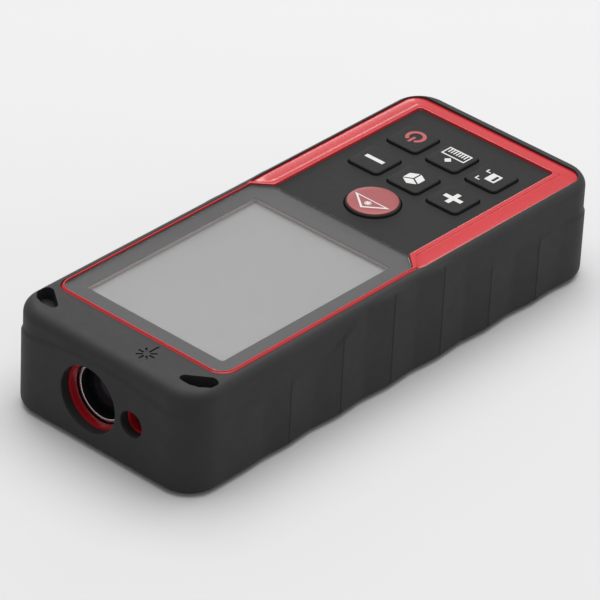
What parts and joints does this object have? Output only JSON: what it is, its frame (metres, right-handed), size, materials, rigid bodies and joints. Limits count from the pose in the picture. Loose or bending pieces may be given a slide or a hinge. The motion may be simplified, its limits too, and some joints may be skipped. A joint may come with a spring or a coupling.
{
  "type": "laser distance meter",
  "caption": "Hand-held laser distance meter: rubber-jacketed block with a flat display, red bezel, square keys, a round measuring button and two optical ports in one end.",
  "frame": {"origin": "centre of the back face, the plane the meter rests on", "axes": "+Y along the body towards the laser end, +Z out of the display side, +X across the width"},
  "size_m": [0.048, 0.116, 0.0228],
  "materials": {
    "rubber": "satin",
    "red_plastic": "semi-gloss",
    "black_plastic": "fine grain",
    "window_glass": "polished",
    "black_print": "printed",
    "black_foam": "matte",
    "grey_plastic": "matte",
    "lcd_face": "smooth",
    "white_plastic": "matte",
    "key_rubber": "matte",
    "circuit_board": "solder mask",
    "steel": "satin",
    "brass": "turned",
    "cast_metal": "as cast",
    "optical_glass": "coated",
    "ribbon": "satin",
    "cell_wrap": "printed sleeve",
    "label_film": "satin"
  },
  "bodies": {
    "housing": {"rubber_jacket": "rubber", "upper_shell": "red_plastic", "lower_shell": "black_plastic", "display_window": "window_glass", "window_mask": "black_print", "window_gasket": "black_foam", "lcd_holder": "grey_plastic", "lcd_panel": "lcd_face", "lcd_backlight": "white_plastic", "display_connector": "black_foam", "keypad_plate": "black_plastic", "keypad_membrane": "key_rubber", "main_board": "circuit_board", "board_components": "black_plastic", "dome_switches": "steel", "buzzer": "black_plastic", "optics_chassis": "cast_metal", "receiver_lens": "optical_glass", "lens_ring": "steel", "receiver_baffle": "black_plastic", "receiver_board": "circuit_board", "light_detector": "steel", "laser_barrel": "brass", "collimating_lens": "optical_glass", "laser_diode": "brass", "laser_window": "optical_glass", "flex_ribbon": "ribbon", "battery_left": "cell_wrap", "battery_right": "cell_wrap", "battery_springs": "steel", "battery_contacts": "steel", "rating_label": "label_film", "shell_screws": "steel", "board_screws": "steel", "optics_screws": "steel"},
    "plus_key": {"plus_key": "key_rubber"},
    "minus_key": {"minus_key": "key_rubber"},
    "volume_key": {"volume_key": "key_rubber"},
    "area_key": {"area_key": "key_rubber"},
    "unit_key": {"unit_key": "key_rubber"},
    "power_key": {"power_key": "key_rubber"},
    "measure": {"measure_button": "key_rubber", "measure_cap": "red_plastic"},
    "cover": {"battery_cover": "black_plastic", "battery_pad": "black_foam"},
    "latch": {"cover_latch": "black_plastic"}
  },
  "joints": [
    {"name": "plus_key_press", "type": "slide", "parent": "housing", "child": "plus_key", "axis": [0, 0, -1], "range_m": [0, 0.0006], "stiffness_N_per_m": 600},
    {"name": "minus_key_press", "type": "slide", "parent": "housing", "child": "minus_key", "axis": [0, 0, -1], "range_m": [0, 0.0006], "stiffness_N_per_m": 600},
    {"name": "volume_key_press", "type": "slide", "parent": "housing", "child": "volume_key", "axis": [0, 0, -1], "range_m": [0, 0.0006], "stiffness_N_per_m": 600},
    {"name": "area_key_press", "type": "slide", "parent": "housing", "child": "area_key", "axis": [0, 0, -1], "range_m": [0, 0.0006], "stiffness_N_per_m": 600},
    {"name": "unit_key_press", "type": "slide", "parent": "housing", "child": "unit_key", "axis": [0, 0, -1], "range_m": [0, 0.0006], "stiffness_N_per_m": 600},
    {"name": "power_key_press", "type": "slide", "parent": "housing", "child": "power_key", "axis": [0, 0, -1], "range_m": [0, 0.0006], "stiffness_N_per_m": 600},
    {"name": "measure_press", "type": "slide", "parent": "housing", "child": "measure", "axis": [0, 0, -1], "range_m": [0, 0.0006], "stiffness_N_per_m": 800},
    {"name": "cover_hinge", "type": "hinge", "parent": "housing", "child": "cover", "pos_m": [0, -0.0027, 0.00115], "axis": [1, 0, 0], "range_deg": [0, 75]},
    {"name": "latch_slide", "type": "slide", "parent": "cover", "child": "latch", "axis": [0, 1, 0], "range_m": [0, 0.001], "stiffness_N_per_m": 400}
  ]
}
